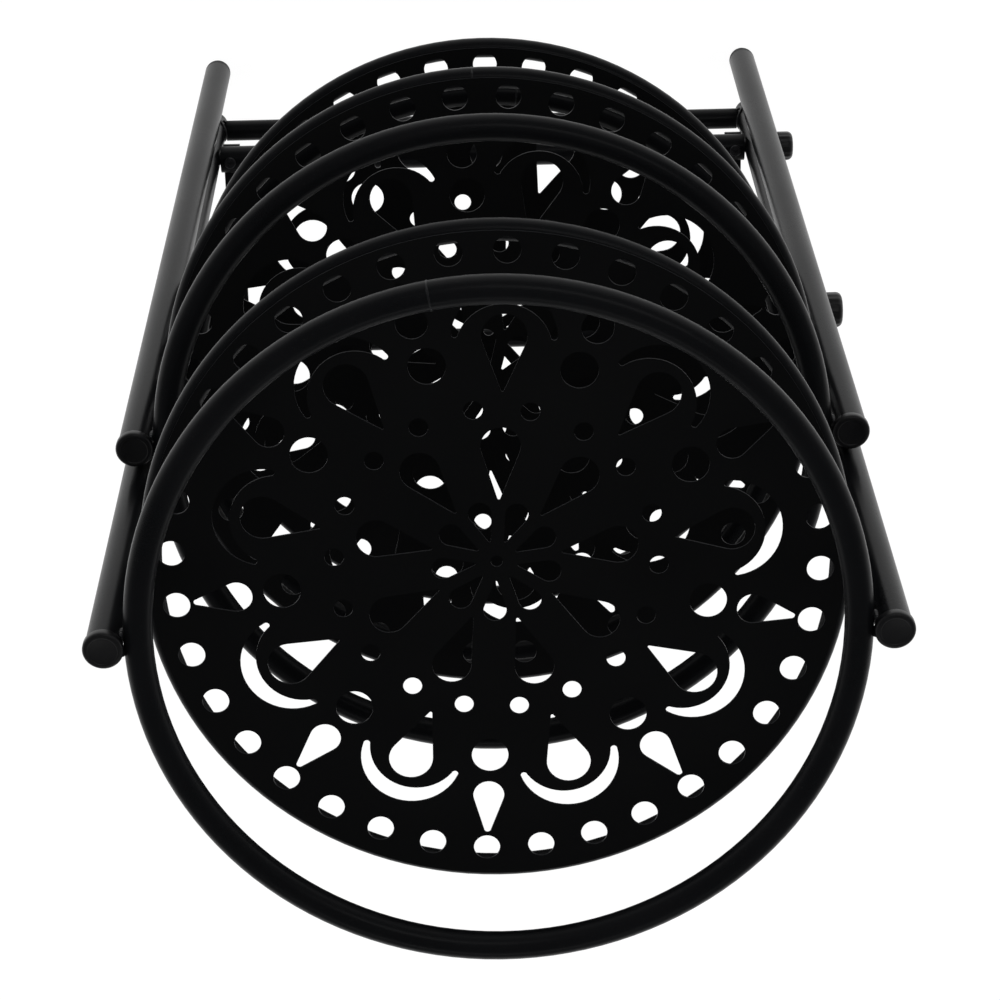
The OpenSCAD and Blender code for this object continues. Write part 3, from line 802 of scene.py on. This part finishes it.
def make_floor(half_width):
    clear_selection()
    bpy.ops.mesh.primitive_plane_add(size=2 * half_width)
    floor = bpy.context.object
    floor.name = "floor"
    finish = Finish(bpy.data.materials.new("floor_paper"))
    shader = finish.tree.nodes["Principled BSDF"]
    mottle = finish.ramp(finish.noise(40, 2), 0.3, 0.7, 0.84, 0.86)
    finish.plug(shader.inputs["Base Color"], finish.blend(mottle, (0, 0, 0), (1, 1, 1)))
    finish.plug(shader.inputs["Roughness"], 0.9)
    finish.plug(shader.inputs["Specular IOR Level"], 0.0)
    glow = finish.node("ShaderNodeEmission", inputs={"Color": (1, 1, 1), "Strength": GLOW})
    paper = Wire(finish, shader.outputs["BSDF"])
    mixed = finish.node("ShaderNodeMixShader",
                        inputs={0: white_to_the_eye(finish) * GLOW_SHARE, 1: paper, 2: glow})
    finish.plug(finish.tree.nodes["Material Output"].inputs["Surface"], mixed)
    floor.data.materials.append(finish.owner)
    return floor


floor = make_floor(8)
print("floor is", [round(side, 1) for side in floor.dimensions], "m")

# %% [markdown]
# ## Light
#
# Black paint shows the room more than its own colour. So the room is built for
# its reflections: white near the horizon, which draws the bright line along
# each tube's edge, and dark overhead, which keeps the faces black. A wide soft
# box overhead gives ordinary surfaces their plain light, and it stays out of
# reflections. So do four low fills around the stand, which reach in between the
# tiers. Two smaller boxes are there to be reflected, one in front and a dimmer
# one behind, and draw the soft bands along the tops of the hoops.

# %% The room
def make_room():
    world = bpy.data.worlds.new("room")
    bpy.context.scene.world = world
    finish = Finish(world)
    toward = finish.node("ShaderNodeTexCoord", output="Generated")
    height = finish.node("ShaderNodeSeparateXYZ", inputs={0: toward}, output="Z")
    brightness = (finish.ramp(height, -0.05, 0.22, 0.55, 0.0)
                  + finish.ramp(height, 0.22, 0.9, 0.25, 0.09))
    seen = Wire(finish, finish.tree.nodes.new("ShaderNodeLightPath").outputs["Is Camera Ray"])
    background = finish.tree.nodes["Background"]
    finish.plug(background.inputs["Color"], (1, 1, 1))
    finish.plug(background.inputs["Strength"], brightness + seen * (1 - brightness))


make_room()
print("the room is white at the horizon and dark overhead")

# %% Lamps
aim = (cad_box[0][2] + cad_box[1][2]) / 2


def soft_box(name, elevation, bearing, distance, width, depth, watts, mirrored):
    """A square lamp that faces the stand; a bearing of 0 is in front of it."""
    up, turn = math.radians(elevation), math.radians(bearing)
    reach = math.cos(up) * distance
    place = Vector((reach * math.sin(turn), -reach * math.cos(turn), aim + math.sin(up) * distance))
    clear_selection()
    bpy.ops.object.light_add(type="AREA", location=place)
    lamp = bpy.context.object
    lamp.name = name
    lamp.rotation_euler = (place - Vector((0, 0, aim))).to_track_quat("Z", "Y").to_euler()
    lamp.data.shape = "RECTANGLE"
    lamp.data.size, lamp.data.size_y = width, depth
    lamp.data.energy = watts
    lamp.visible_glossy = mirrored
    print(name, "at", [round(part, 2) for part in place])


soft_box("overhead_box", elevation=88, bearing=0, distance=3.2,
         width=3.0, depth=3.0, watts=38, mirrored=False)
soft_box("front_box", elevation=56, bearing=-22, distance=2.4,
         width=1.4, depth=0.4, watts=2.6, mirrored=True)
soft_box("rear_box", elevation=46, bearing=180, distance=2.4,
         width=1.1, depth=0.3, watts=1.2, mirrored=True)
for name, bearing in (("front_fill", 0), ("left_fill", 90),
                      ("rear_fill", 180), ("right_fill", 270)):
    soft_box(name, elevation=24, bearing=bearing, distance=2.6,
             width=1.8, depth=1.0, watts=15, mirrored=False)

# %% [markdown]
# ## Camera
#
# The camera hangs above and in front of the stand and looks steeply down onto
# it. Its image is turned so that the feet are at the top and the top hoop is
# lowest and nearest, which shows the three trays one through another.

# %% The camera
CAMERA_PLACE = (0.00737, -0.59183, 2.15728)
CAMERA_TURN = (-22.222, -0.893, 178.804)    # degrees about X, Y and Z
SENSOR, LENS = 36, 103.07                   # mm


def make_camera():
    clear_selection()
    bpy.ops.object.camera_add(location=CAMERA_PLACE)
    camera = bpy.context.object
    camera.rotation_euler = [math.radians(angle) for angle in CAMERA_TURN]
    camera.data.sensor_width = SENSOR
    camera.data.lens = LENS
    bpy.context.scene.camera = camera
    bpy.context.scene.view_settings.view_transform = "Standard"
    return camera


camera = make_camera()
print("camera lens", round(camera.data.lens, 1), "mm")
